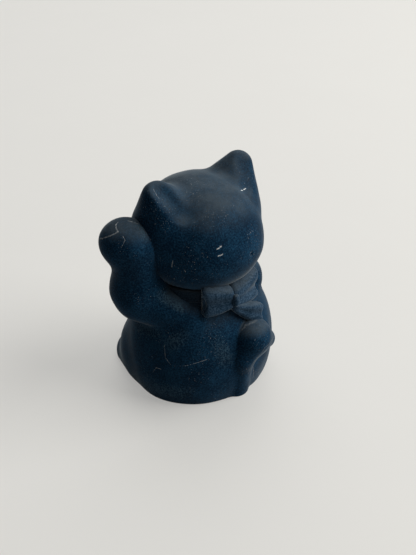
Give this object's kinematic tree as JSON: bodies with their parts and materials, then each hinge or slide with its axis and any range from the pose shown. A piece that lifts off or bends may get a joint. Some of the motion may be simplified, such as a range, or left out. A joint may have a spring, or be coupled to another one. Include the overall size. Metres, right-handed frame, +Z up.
{
  "type": "lucky cat figurine",
  "caption": "Small matte black seated cat ornament with a raised left paw, a bow at the nape, a collar bell and a short hooked tail, resting on a flat base.",
  "frame": {"origin": "centre of the flat base, on the surface that the cat stands on", "axes": "+Z up, the cat faces -Y, its left side with the raised paw is +X"},
  "size_m": [0.039, 0.0344, 0.047],
  "materials": {
    "cat_resin": "matte navy-black cast resin, dusty and lightly chipped",
    "bow_resin": "the same matte navy-black resin, slightly paler on its folds"
  },
  "bodies": {
    "root": {"body_casting": "cat_resin", "head_casting": "cat_resin", "raised_arm": "cat_resin", "lowered_arm": "cat_resin", "left_hind_foot": "cat_resin", "right_hind_foot": "cat_resin", "tail": "cat_resin", "collar_band": "bow_resin", "collar_bell": "bow_resin", "bow_knot": "bow_resin", "bow_left_loop": "bow_resin", "bow_right_loop": "bow_resin", "bow_right_end": "bow_resin"}
  },
  "joints": []
}
